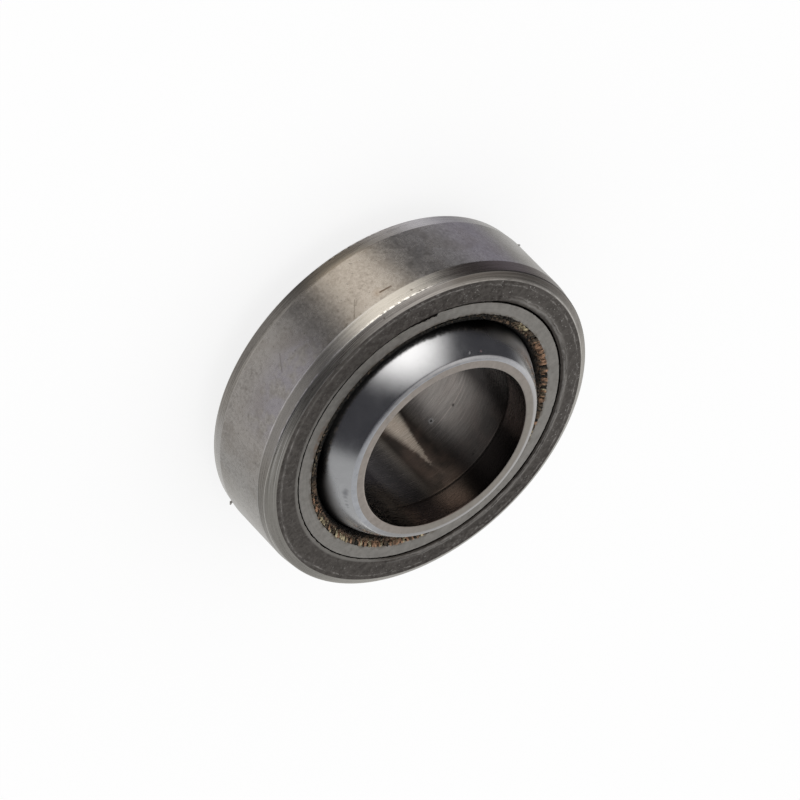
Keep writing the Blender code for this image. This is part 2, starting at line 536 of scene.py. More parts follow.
def sleeve_corner_steel():
    """Turned taper and bevel: fine lathe lines, painted light and shade, and worn edges, torn nearest
    the camera.
    """
    s = Surface("sleeve_corner_steel", 1.0)
    face_radius = FACE_EDGE[0] / MM
    bevel_radius = BEVEL_EDGE[0] / MM
    bevel_height = BEVEL_EDGE[1] / MM
    taper_height = TAPER_EDGE[1] / MM
    upper = s.ramp(s.height, 0.0, 1.0)
    lines = s.streaks(s.plus(s.level, s.radius), 1.5, 8.5, 5.0, 0.75)
    cloud = s.noise(0.9, 5.0, 0.7, 0.3)
    fine = s.noise(3.0, 5.0, 0.75)
    s.tone = s.mix(s.ramp(lines, 0.37, 0.60), (0.20, 0.185, 0.165), (0.50, 0.47, 0.425))
    s.paint((0.35, 0.33, 0.30), s.ramp(cloud, 0.40, 0.65, 0.0, 0.35))
    s.paint((0.50, 0.475, 0.44), s.ramp(fine, 0.42, 0.62, 0.0, 0.42))
    s.paint((0.20, 0.185, 0.165), s.fade(fine, 0.30, 0.42, 0.40))
    taper = s.ramp(s.radius, bevel_radius - 0.04, bevel_radius + 0.02)
    bevel = s.minus(1.0, taper)
    cuts = s.streaks(s.radius, 0.8, 7.0, 3.0, 0.6)
    cut_side = s.larger(s.facing(80, 35, 65), s.times(s.facing(158, 18, 34), 0.7))
    s.paint((0.10, 0.09, 0.08), bevel, cut_side, s.fade(cuts, 0.38, 0.46, 0.80))
    s.paint((0.82, 0.79, 0.75), bevel, cut_side, s.ramp(cuts, 0.53, 0.59, 0.0, 0.80))
    # Painted reflections and shade: the bevel and taper are painted lighter and darker in bands by
    # angle
    s.paint((0.42, 0.40, 0.365), bevel, s.facing(5, 25, 50), 0.55)
    s.paint((0.57, 0.535, 0.47), taper, s.facing(108, 8, 19), 0.62)
    s.paint((0.14, 0.102, 0.085), taper, s.facing(156, 15, 34), upper, 0.72)
    s.paint((0.20, 0.185, 0.165), taper, s.facing(12, 22, 45), upper, 0.42)
    s.paint((0.37, 0.355, 0.34), taper, s.facing(68, 14, 28), upper, 0.65)
    # Painted highlights on the lower taper's sides and near 112 degrees; painted shade low and on the
    # bevel
    below = s.fade(s.height, -1.0, 0.0)
    sides = s.larger(s.facing(150, 14, 26), s.facing(24, 12, 24))
    s.paint((0.76, 0.74, 0.72), taper, below, sides, 0.50)
    s.paint((0.15, 0.14, 0.13), s.fade(s.height, -4.0, -3.8), s.facing(84, 20, 36), 0.45)
    s.paint((0.20, 0.19, 0.18), bevel, s.facing(165, 26, 44), 0.50)
    s.paint((0.16, 0.15, 0.145), bevel, s.facing(152, 20, 36), 0.25)
    outer_bevel = s.ramp(s.radius, face_radius + 0.25, bevel_radius - 0.20)
    s.paint((0.12, 0.10, 0.09), bevel, outer_bevel, s.facing(156, 20, 36), 0.38)
    s.paint((0.56, 0.54, 0.53), bevel, s.facing(112, 10, 20), 0.45)
    worn = s.ramp(s.streaks(s.level, 9.0, 8.0, 3.0), 0.42, 0.62)
    # The bevel's edge line: worn, and painted brighter round 40 degrees as its highlight
    line_level = s.plus(s.level, s.times(s.facing(0, 5, 55), 0.5))
    bevel_line = s.band(line_level, bevel_height - 0.06, bevel_height + 0.03, 0.05)
    worn_and_painted_sheen = s.times(s.ramp(worn, 0.0, 0.6, 0.5, 1.0), s.facing(40, 70, 95))
    s.paint((0.78, 0.76, 0.71), bevel_line, worn_and_painted_sheen, 0.85)
    # A torn line at the bevel's edge near 109 degrees, painted nearly white as its highlight, dark in
    # its tears
    torn = s.ramp(s.streaks(s.level, 46.0, 7.0), 0.47, 0.54)
    tear = s.band(s.level, bevel_height - 0.19, bevel_height + 0.03, 0.05)
    s.paint((0.97, 0.92, 0.84), tear, torn, s.facing(109, 6, 17), 0.90)
    s.paint((0.20, 0.18, 0.16), tear, s.fade(torn, 0.0, 0.6), s.facing(114, 9, 14), 0.5)
    # A bright line at the face's edge: worn, and painted brighter on one side as its highlight
    rim = s.band(s.radius, face_radius + 0.01, face_radius + 0.14, 0.04)
    broken = s.ramp(s.streaks(s.radius, 12.0, 4.0), 0.38, 0.58, 0.15, 1.0)
    s.paint((0.70, 0.68, 0.65), rim, broken, s.facing(150, 75, 110), 0.65)
    # A pale line where the taper starts: worn, with a painted sheen round 35 degrees and above the
    # middle
    start_line = s.band(s.level, taper_height + 0.02, taper_height + 0.17, 0.04)
    painted_start_sheen = s.times(s.facing(35, 55, 80), s.ramp(s.height, 0.0, 1.0, 0.35, 0.8))
    s.paint((0.66, 0.64, 0.61), start_line, s.ramp(worn, 0.0, 0.6, 0.6, 1.0), painted_start_sheen)
    # Painted glint: a broken violet-white line at the taper's start and the bevel's edge, near 68
    # degrees
    edge_line = s.band(s.level, bevel_height - 0.20, bevel_height - 0.06, 0.04)
    painted_glint = s.times(s.larger(start_line, edge_line), s.facing(68, 12, 24), upper, 0.60)
    s.paint((0.90, 0.87, 0.92), painted_glint, s.ramp(s.streaks(s.level, 26.0, 3.0), 0.44, 0.56, 0.15, 1.0))
    for degrees, height, radius, size in CORNER_NICKS:
        s.paint((0.14, 0.11, 0.09), s.spot(degrees, height, radius, size), 0.75)
    relief = s.plus(lines, s.times(fine, 0.5))
    return s.finish(s.ramp(lines, 0.2, 0.8, 0.22, 0.36), relief, 0.35, 0.025)


def burr_steel():
    """Torn steel."""
    s = Surface("burr_steel", 1.0)
    grain = s.noise(6.0, 4.0, 0.7)
    s.tone = s.mix(s.ramp(grain, 0.35, 0.65), (0.26, 0.24, 0.22), (0.60, 0.57, 0.53))
    return s.finish(s.ramp(grain, 0.2, 0.8, 0.4, 0.6), grain, 0.5, 0.03)


def sleeve_face_steel():
    """Dark treated end face with scratches and specks, folded ridges where its lip was rolled, and
    painted light and shade at its seat.
    """
    s = Surface("sleeve_face_steel", 1.0)
    lines = s.streaks(s.radius, 2.5, 9.0)
    cloud = s.noise(0.6, 5.0, 0.65, 0.3)
    grit = s.noise(1.9, 4.0, 0.7)
    specks = s.ramp(s.noise(3.6, 2.0, 0.7), 0.62, 0.68)
    dense = s.ramp(s.noise(0.35), 0.35, 0.60, 0.15, 1.0)
    specks = s.times(specks, dense, s.ramp(s.nearness(215), -0.6, 0.6, 0.35, 1.0))
    s.tone = s.mix(s.ramp(cloud, 0.35, 0.7), (0.088, 0.078, 0.071), (0.125, 0.113, 0.103))
    s.paint((0.19, 0.174, 0.160), s.ramp(grit, 0.42, 0.64, 0.0, 0.70))
    s.paint((0.055, 0.047, 0.042), s.fade(grit, 0.34, 0.44, 0.6))
    brighter = s.larger(s.times(s.facing(30, 50, 90), 0.18), s.times(s.facing(203, 35, 55), 0.35))
    s.paint((0.20, 0.185, 0.17), brighter)
    rolled = s.facing(236, 68, 86)
    folds = s.ramp(s.streaks(s.radius, 4.0, 3.0), 0.38, 0.62)
    folded = s.mix(folds, (0.15, 0.138, 0.128), (0.27, 0.252, 0.235))
    s.paint(folded, rolled, s.fade(s.radius, 17.0, 17.5), 0.85)
    wander = s.ramp(s.noise(0.45), 0.0, 1.0, -0.22, 0.22)
    wandering = s.plus(s.radius, wander)
    rough_edge = s.ramp(s.streaks(s.radius, 9.0, 3.0), 0.36, 0.55, 0.2, 1.0)
    # Light lines along the folded ridges: partly worn bare metal, partly painted highlight
    inner_ridge = s.times(s.band(wandering, *INNER_RIDGE, 0.10), 0.60)
    outer_ridge = s.times(s.band(wandering, *OUTER_RIDGE, 0.07), 0.75)
    s.paint((0.48, 0.46, 0.435), s.larger(inner_ridge, outer_ridge), rough_edge, rolled)
    s.paint((0.52, 0.50, 0.48), specks, 0.9)
    drift = s.minus(s.times(s.facing(60, 22, 42), 0.12), s.times(s.facing(4, 4, 14), 0.20))
    rub_radius = s.plus(s.radius, drift)
    skirt = s.times(s.band(rub_radius, *RUBBED_SKIRT, 0.22), s.facing(60, 60, 80))
    s.paint((0.42, 0.40, 0.38), skirt, s.ramp(cloud, 0.3, 0.6, 0.08, 0.30))
    breaks = s.ramp(s.streaks(s.radius, 22.0, 6.0), 0.47, 0.62)
    s.paint((0.50, 0.475, 0.45), s.band(rub_radius, *RUBBED_LINE, 0.08), breaks, 0.85)
    # Painted highlight along the seat's edge, round 15 degrees
    s.paint((0.37, 0.355, 0.33), s.fade(s.radius, *SEAT_EDGE_HIGHLIGHT), s.facing(15, 55, 75), 0.8)
    # Painted shade along the gap between the lip and the race
    gap_shade = s.times(s.fade(s.radius, *GAP_SHADE), s.facing(236, 80, 92))
    wide_gap_shade = s.times(s.fade(s.radius, *WIDE_GAP_SHADE), s.facing(216, 32, 50))
    s.paint((0.06, 0.050, 0.043), s.larger(gap_shade, wide_gap_shade), 0.75)
    # Painted shade below the face: on the seat's wall in the gap to the race, and on the back face
    face_height = HALF_WIDTH / MM
    s.paint((0.06, 0.048, 0.040), s.fade(s.height, face_height - 0.20, face_height - 0.06, 0.85))
    relief = s.plus(s.times(lines, 0.6), s.plus(cloud, s.plus(specks, grit)))
    return s.finish(s.ramp(cloud, 0.2, 0.8, 0.40, 0.56), relief, 0.35, 0.03)


def race_steel():
    """Finely turned pale steel, with a brown stain and dust beside the liner, and painted shade on its
    outer side.
    """
    s = Surface("race_insert_steel", 1.0)
    lines = s.streaks(s.radius, 2.0, 12.0)
    cloud = s.noise(0.9, 5.0, 0.65, 0.3)
    s.tone = s.mix(s.ramp(lines, 0.3, 0.7), (0.330, 0.316, 0.292), (0.396, 0.382, 0.357))
    s.paint((0.47, 0.455, 0.43), s.facing(238, 12, 34), 0.35)
    s.paint((0.33, 0.31, 0.28), s.ramp(cloud, 0.5, 0.75, 0.0, 0.35))
    s.paint((0.27, 0.25, 0.23), s.facing(88, 12, 40), 0.18)
    speckle = s.noise(1.7, 4.0, 0.7)
    s.paint((0.48, 0.455, 0.425), s.ramp(speckle, 0.42, 0.66, 0.0, 0.5))
    s.paint((0.25, 0.225, 0.20), s.fade(speckle, 0.30, 0.42, 0.5))
    stain = s.times(s.fade(s.radius, *RACE_STAIN), s.facing(54, 3, 11), 0.8)
    s.paint((0.26, 0.16, 0.10), stain, s.ramp(speckle, 0.35, 0.6))
    dust = s.fade(s.radius, *RACE_DUST)
    s.paint((0.17, 0.135, 0.095), dust, s.ramp(cloud, 0.42, 0.58), 0.5)
    # Painted shade below the face on the race's outer side, in the gap to the sleeve
    below = s.fade(s.height, HALF_WIDTH / MM - 0.18, HALF_WIDTH / MM - 0.05, 0.9)
    s.paint((0.045, 0.036, 0.030), s.ramp(s.radius, *RACE_SIDE_SHADE), below)
    return s.finish(s.ramp(cloud, 0.2, 0.8, 0.36, 0.50), s.plus(lines, speckle), 0.3, 0.02)


def ball_steel():
    """Mirror-polished ball: faint haze, painted shade and reflections, a smudge, a pink speck, a
    scratch.
    """
    s = Surface("ball_polished_steel", 1.0)
    haze = s.noise(0.5, 5.0, 0.65, 0.4)
    hair = s.streaks(s.height, 3.0, 40.0, 2.0)
    dots = s.ramp(s.noise(3.2, 2.0, 0.5), 0.70, 0.76)
    ball = BALL_RADIUS / MM
    s.tone = s.mix(s.ramp(haze, 0.3, 0.7), (0.60, 0.60, 0.605), (0.65, 0.65, 0.655))
    # Painted reflection: the ball is painted much lighter round 195 and 348 degrees
    s.paint((0.92, 0.92, 0.92), s.larger(s.facing(195, 14, 34), s.facing(348, 4, 16)))
    s.paint((0.30, 0.30, 0.31), dots, 0.35)
    for degrees, height, size, share in BALL_SMUDGE:
        blot = s.spot(degrees, height, radius_on_sphere(ball, height), size, 0.8)
        s.paint((0.20, 0.20, 0.215), blot, share)
    near_rim = radius_on_sphere(ball, BALL_SPECK[1])
    speck = s.times(s.spot(*BALL_SPECK, near_rim, 0.13), 0.5)
    s.paint((0.98, 0.62, 0.66), speck)
    nick = s.times(s.scratch(*BALL_NICK, 0.09, near_rim), 0.45)
    s.paint((0.98, 0.98, 0.98), nick)
    # Painted shade: the ball goes nearly black towards the liner, less far on two sides
    near_unshaded = s.times(s.facing(93, 30, 58), 1.05)
    far_unshaded = s.times(s.facing(200, 18, 38), 0.75)
    wide_shade = s.times(s.larger(s.facing(354, 18, 48), s.facing(150, 20, 38)), 0.90)
    edge = s.plus(s.level, s.larger(near_unshaded, far_unshaded))
    s.paint((0.020, 0.018, 0.017), s.fade(edge, 5.0, s.plus(6.15, wide_shade), 0.96))
    dull = s.times(s.fade(s.level, 5.9, 7.3, 0.30), s.fade(s.nearness(93), 0.35, 0.60))
    rough = s.plus(s.ramp(haze, 0.2, 0.8, 0.17, 0.24), dull)
    rough = s.plus(rough, s.times(s.plus(nick, speck), 0.5))
    return s.finish(rough, hair, 0.06, 0.01)


def ring_rim_steel():
    """Rounded rim where the ball meets the end face, painted lighter than the ball as its highlight."""
    s = Surface("ring_rim_steel", 1.0)
    cloud = s.noise(1.2, 4.0, 0.6)
    s.tone = s.mix(s.ramp(cloud, 0.35, 0.65), (0.64, 0.65, 0.68), (0.74, 0.75, 0.78))
    # Painted shade: darker round 270 degrees
    s.paint((0.42, 0.40, 0.38), s.facing(270, 60, 100), 0.7)
    return s.finish(s.ramp(cloud, 0.2, 0.8, 0.26, 0.36), cloud, 0.15, 0.02)


def ring_face_steel():
    """Satin end face of the inner ring, with turning lines."""
    s = Surface("ring_face_steel", 1.0)
    lines = s.streaks(s.radius, 2.0, 12.0)
    cloud = s.noise(0.8, 5.0, 0.65, 0.3)
    speckle = s.noise(1.7, 4.0, 0.7)
    s.tone = s.mix(s.ramp(cloud, 0.35, 0.65), (0.420, 0.372, 0.332), (0.488, 0.436, 0.394))
    s.paint((0.57, 0.51, 0.465), s.ramp(speckle, 0.42, 0.66, 0.0, 0.6))
    s.paint((0.355, 0.345, 0.30), s.facing(262, 45, 80), 0.45)
    s.paint((0.32, 0.28, 0.25), s.fade(speckle, 0.30, 0.42, 0.45))
    s.paint((0.66, 0.62, 0.58), lines, 0.25)
    return s.finish(s.ramp(cloud, 0.2, 0.8, 0.34, 0.46), s.plus(lines, speckle), 0.3, 0.02)


def bore_steel():
    """Ground bore: dark painted shade, pale painted reflections in a wedge and patches, with spots and
    marks.
    """
    s = Surface("bore_steel", 1.0)
    marks = s.streaks(s.height, 5.0, 8.0, 6.0, 0.8)
    reflection_streaks = s.ramp(s.streaks(s.height, 3.0, 6.0, 5.0, 0.75), 0.44, 0.62)
    cloud = s.noise(0.35, 5.0, 0.6, 0.5)
    bore = BORE_RADIUS / MM
    # Painted reflections: a pale wedge, a wide patch and a narrow strip, in the bore below the shoulder
    claws = s.ramp(s.streaks(s.height, 2.5, 8.0, 4.0, 0.75), 0.36, 0.64)
    claw_reach = s.times(claws, s.ramp(s.height, -5.0, -1.0, 0.010, 0.026))
    aside = s.minus(s.nearness(REFLECTION_WEDGE_ANGLE - 90), claw_reach)
    across = s.math("DIVIDE", aside, s.ramp(s.height, -10.0, 3.2, 0.165, 0.004))
    reflection_wedge = s.times(s.ramp(across, -1.2, -0.1), s.fade(across, 0.7, 1.2))
    reflection_wedge = s.times(reflection_wedge, s.ramp(s.nearness(REFLECTION_WEDGE_ANGLE), 0.2, 0.3))
    reflection_wedge = s.times(reflection_wedge, s.fade(s.height, 0.4, 2.2), s.ramp(s.height, -6.0, 2.5, 0.68, 0.28))
    reflection_wedge = s.times(reflection_wedge, s.ramp(marks, 0.30, 0.62, 0.80, 1.10))
    patch = s.times(s.facing(248.5, 8, 27), s.ramp(s.height, -4.5, 3.5, 1.2, 0.10))
    patch = s.times(patch, s.ramp(reflection_streaks, 0.0, 1.0, 0.75, 1.1))
    right = s.times(s.facing(307, 7, 14), s.ramp(s.height, -4.0, 5.0, 0.33, 0.15))
    painted_reflection = s.larger(reflection_wedge, s.larger(patch, right))
    shoulder = BORE_SHOULDER_HEIGHT / MM
    below = s.ramp(s.height, shoulder - 0.25, shoulder + 0.05, 1.0, 0.03)
    painted_reflection = s.times(painted_reflection, s.ramp(marks, 0.25, 0.75, 0.72, 1.15), below)
    # Painted shade: the bore's dark tone and darker stripes stand in for its dark reflections
    painted_shade_tone = s.mix(s.ramp(cloud, 0.35, 0.65), (0.040, 0.036, 0.034), (0.058, 0.051, 0.048))
    stripes = s.larger(s.facing(275, 3, 9), s.times(s.facing(291, 5, 12), 0.95))
    stripes = s.times(stripes, s.ramp(s.height, 1.5, 4.5, 1.0, 0.3), below, 0.85)
    painted_shade_tone = s.mix(stripes, painted_shade_tone, (0.016, 0.0145, 0.014))
    painted_shade_tone = s.mix(s.times(s.facing(328, 8, 18), 0.6), painted_shade_tone, (0.022, 0.017, 0.014))
    s.tone = s.mix(painted_reflection, painted_shade_tone, (0.40, 0.375, 0.35))
    # Painted reflection: a reddish cast round 262 degrees below the shoulder
    reddish_reflection = s.ramp(s.noise(0.45, 3.0, 0.5), 0.35, 0.70)
    s.paint((0.26, 0.185, 0.16), reddish_reflection, s.facing(262, 24, 40), below, 0.11)
    # Painted shade above the shoulder round 256 degrees, and painted reddish reflections there
    above = s.ramp(s.height, shoulder - 0.1, shoulder + 0.4)
    s.paint((0.014, 0.011, 0.010), above, s.facing(256, 12, 26), 0.70)
    glow = s.times(s.facing(299, 10, 25), s.ramp(s.height, 4.2, 7.8))
    s.paint((0.28, 0.215, 0.19), glow, s.ramp(cloud, 0.30, 0.60, 0.65, 0.9))
    s.paint((0.34, 0.275, 0.25), s.facing(210, 12, 26), above, 0.8)
    # A painted pale line just below the shoulder, a reflection at its edge
    line = s.band(s.height, shoulder - 0.24, shoulder - 0.14, 0.06)
    s.paint((0.30, 0.26, 0.235), line, s.facing(290, 50, 80), 0.30)
    s.paint((0.62, 0.54, 0.50), s.band(s.height, *DRAG_MARK, 0.06), s.facing(248, 13, 19), 0.40)
    for degrees, height, size in BORE_SPOTS:
        s.paint((0.03, 0.026, 0.024), s.spot(degrees, height, bore, size), 0.8)
    s.paint((0.58, 0.57, 0.56), s.spot(*BORE_RING, bore, 0.29, 0.3), 0.9)
    s.paint((0.06, 0.055, 0.05), s.spot(*BORE_RING, bore, 0.15, 0.3))
    return s.finish(s.ramp(marks, 0.2, 0.8, 0.18, 0.32), marks, 0.22, 0.02)


def liner_cloth():
    """The liner's woven wall: painted nearly black as shade where it wraps the ball, brown and mottled
    at its ends.
    """
    s = Surface("liner_cloth", 0.0)
    weave = s.noise(3.0, 4.0, 0.7)
    patches = s.noise(1.3, 4.0, 0.7)
    # Painted shade: near black for the gap round the ball; the cloth's own brown shows round 188 and
    # 345 degrees
    s.tone = s.mix(s.ramp(weave, 0.45, 0.70), (0.003, 0.003, 0.002), (0.016, 0.012, 0.009))
    brown = s.mix(s.ramp(weave, 0.38, 0.60), (0.050, 0.034, 0.022), (0.17, 0.108, 0.066))
    open_side = s.larger(s.facing(188, 26, 38), s.facing(345, 30, 60))
    root = LINER_LAND_INNER[0] / MM
    land = s.ramp(s.radius, root - 0.30, root + 0.15)
    s.paint(brown, open_side, land, s.ramp(patches, 0.34, 0.50))
    return s.finish(0.9, weave, 0.8, 0.08)


def yarn(name, dark, pale):
    """Cut yarn whose colour runs from dark to pale."""
    s = Surface(name, 0.0)
    blotch = s.noise(2.2, 4.0, 0.65)
    fibre = s.noise(7.0, 3.0, 0.7)
    s.tone = s.mix(s.ramp(blotch, 0.36, 0.62), dark, pale)
    root = LINER_LAND_INNER[0] / MM
    # Painted shade: the yarn goes near black towards its roots, deep in the gap
    s.paint((0.008, 0.006, 0.005), s.fade(s.radius, root - 0.15, root + 0.50, 0.9))
    return s.finish(0.75, fibre, 0.6, 0.03)


# Pieces


def make_sleeve():
    upper = [SEAT_FACE, FACE_EDGE, BEVEL_EDGE, TAPER_EDGE, (TAPER_EDGE[0], 0.0)]
    outer = rounded(upper, SLEEVE_ROUNDINGS)
    lip_end = ROLLED_LIP_END * MM
    face_points = divided([(lip_end, HALF_WIDTH), outer[1]], 0.5 * MM)
    seat_top = (SEAT[0], HALF_WIDTH)
    lip = rounded([(SEAT[0], HALF_WIDTH - 0.6 * MM), seat_top, (lip_end, HALF_WIDTH)], (LIP_ROUNDING,))
    fine_lip = divided(lip, 0.05 * MM)
    outside = [point for point in outer[1:] if point[1] > 0]
    upper_loop = fine_lip + face_points[1:] + divided(outside, 0.30 * MM)[1:]
    coarse = [SEAT, SEAT_FACE] + outer[1:-1]
    profile = upper_loop + flipped(divided(coarse, 1.6 * MM))

    def pick(radius, height):
        if radius > TAPER_EDGE[0] - 0.005 * MM:
            return 0
        if abs(height) < HALF_WIDTH - 0.001 * MM and radius > FACE_EDGE[0] - 0.1 * MM:
            return 1
        return 2

    def lip_shape(radius, height, angle):
        if height < HALF_WIDTH - 0.3 * MM or radius > lip_end - 0.05 * MM:
            return radius, height
        degrees = math.degrees(angle)
        rolled = window(degrees, *ROLLED_LIP, 7)
        tears = max(0.0, ragged(angle, 120, 3.0)) + 1.5 * max(0.0, ragged(angle, 300, 8.0))
        centre = (LIP_CREST + 0.14 * ragged(angle, 40, 1.0)) * MM
        ridge = math.exp(-((radius - centre) / (0.11 * MM)) ** 2)
        inner = math.exp(-((radius - centre + 0.30 * MM) / (0.09 * MM)) ** 2)
        lift = rolled * (ridge * (0.04 + 0.07 * tears) + inner * (0.03 + 0.05 * tears)) * MM
        edge = 1 - step_between(radius, SEAT[0], SEAT[0] + 0.40 * MM)
        push = edge * (rolled * 0.09 - 0.03 + 0.06 * ragged(angle, 200, 5.0)) * MM
        return radius + push, height + lift

    materials = [sleeve_outside_steel(), sleeve_corner_steel(), sleeve_face_steel()]
    sleeve = turned("outer_sleeve_turned", profile, materials, pick, FINE_STEPS, lip_shape)
    seat_on(sleeve, "housing", "sleeve_steel", "outer_sleeve")


def make_race():
    bore = sphere_arc(math.hypot(*RACE_LIP), -RACE_LIP[1], RACE_LIP[1])
    wall_top = (RACE_OUTER[0], HALF_WIDTH)
    corners = [RACE_LIP, RACE_LIP_FACE, wall_top, (RACE_OUTER[0], HALF_WIDTH - 0.4 * MM)]
    upper = divided(rounded(corners, RACE_ROUNDINGS), 0.10 * MM)
    lower = rounded([RACE_LIP, RACE_LIP_FACE, RACE_OUTER_FACE, RACE_OUTER], RACE_ROUNDINGS)
    profile = upper + flipped(lower) + bore[1:-1]

    def burr_shape(radius, height, angle):
        if height < HALF_WIDTH - 0.3 * MM:
            return radius, height
        degrees = math.degrees(angle)
        flap = window(degrees, *RACE_BURR, 0.8) * (0.45 + 0.5 * ragged(angle, 260, 2.0))
        cut = step_between(degrees, *RACE_CHIP)
        cut *= 1 - step_between(degrees, RACE_CHIP[1], RACE_CHIP[1] + 0.7)
        flap -= cut * (1.15 + 0.6 * ragged(angle, 300, 4.0))
        reach = step_between(radius, 15.75 * MM, RACE_OUTER[0])
        nick = 0.035 * ragged(angle, 420, 6.0) * MM * step_between(radius, 16.0 * MM, RACE_OUTER[0])
        return radius + reach * flap * 0.26 * MM + nick, height + reach * flap * 0.03 * MM

    race = turned("race_insert_turned", profile, [race_steel()], lambda r, z: 0, FINE_STEPS, burr_shape)
    seat_on(race, "housing", "race_steel", "race_insert")


def make_inner_ring():
    lead_in = BORE_RADIUS + LEAD_IN
    ball = sphere_arc(BALL_RADIUS, BALL_EDGE[1], -BALL_EDGE[1])
    rim = rounded([BORE_FACE, LAND_EDGE, BALL_EDGE, ball[1]], RING_ROUNDINGS, 6)
    fine_rim = divided(rim, 0.2 * MM)
    upper_bore = [
        (BORE_RADIUS, 0.0),
        (BORE_RADIUS, BORE_SHOULDER_HEIGHT + SHOULDER_START),
        (lead_in, BORE_SHOULDER_HEIGHT + SHOULDER_END),
        (lead_in, BORE_FACE[1] - 0.04 * MM),
        BORE_FACE,
    ]
    bore = divided(rounded(upper_bore, BORE_ROUNDINGS), 0.5 * MM)
    lower_bore = divided([(BORE_RADIUS, -BORE_FACE[1] + 0.05 * MM), (BORE_RADIUS, 0.0)], 0.8 * MM)
    profile = fine_rim + ball[2:-2] + flipped(fine_rim) + lower_bore + bore[1:-1]

    def pick(radius, height):
        if radius < BORE_FACE[0] - 0.004 * MM:
            return 3
        if radius < LAND_EDGE[0] - 0.16 * MM:
            return 2
        return 1 if abs(height) > BALL_EDGE[1] - 0.05 * MM else 0

    materials = [ball_steel(), ring_rim_steel(), ring_face_steel(), bore_steel()]
    ring = turned("inner_ring_turned", profile, materials, pick, STEPS)
    seat_on(ring, "ball", "ball_steel", "inner_ring")


def make_liner():
    outer = sphere_arc(math.hypot(*LINER_LAND_OUTER), LINER_LAND_OUTER[1], -LINER_LAND_OUTER[1])
    inner = sphere_arc(math.hypot(*LINER_MOUTH), -LINER_MOUTH[1], LINER_MOUTH[1])
    mouth = divided([LINER_MOUTH, LINER_LAND_INNER, LINER_LAND_OUTER], 0.12 * MM)
    profile = outer + flipped(mouth)[1:] + inner[1:] + mouth[1:-1]

    def fray(radius, height, angle):
        if abs(height) < LINER_MOUTH[1] * 0.98:
            return radius, height
        return radius, height + ragged(angle, 400, height / MM) * 0.10 * MM

    liner = turned("fabric_liner_wall", profile, [liner_cloth()], lambda r, z: 0, STEPS, fray)
    seat_on(liner, "liner", "liner_fabric", "fabric_liner")


def tube(points, radius, sides, first):
    """Vertices and faces of a closed tube through points, numbered from first."""
    vertices = []
    for i, point in enumerate(points):
        ahead = points[min(i + 1, len(points) - 1)] - points[max(i - 1, 0)]
        turn = ahead.to_track_quat("Z", "Y")
        size = radius * (0.55 if i in (0, len(points) - 1) else 1.0)
        for side in range(sides):
            a = 2 * math.pi * side / sides
            vertices.append(point + turn @ Vector((math.cos(a) * size, math.sin(a) * size, 0)))
    faces = []
    for i in range(len(points) - 1):
        for side in range(sides):
            a = first + i * sides + side
            b = first + i * sides + (side + 1) % sides
            faces.append((a, b, b + sides, a + sides))
    last = first + (len(points) - 1) * sides
    faces.append(tuple(first + side for side in reversed(range(sides))))
    faces.append(tuple(last + side for side in range(sides)))
    return vertices, faces


def fringe_at(degrees):
    """The fringe's depth and overlap in mm, and its shares of tan, orange, brown and dark yarn."""
    turn = degrees % 360
    for before, after in zip(FRINGE, FRINGE[1:]):
        if before[0] <= turn <= after[0]:
            t = (turn - before[0]) / (after[0] - before[0])
            return [a * (1 - t) + b * t for a, b in zip(before[1:], after[1:])]
    raise ValueError("an angle outside the fringe's table")


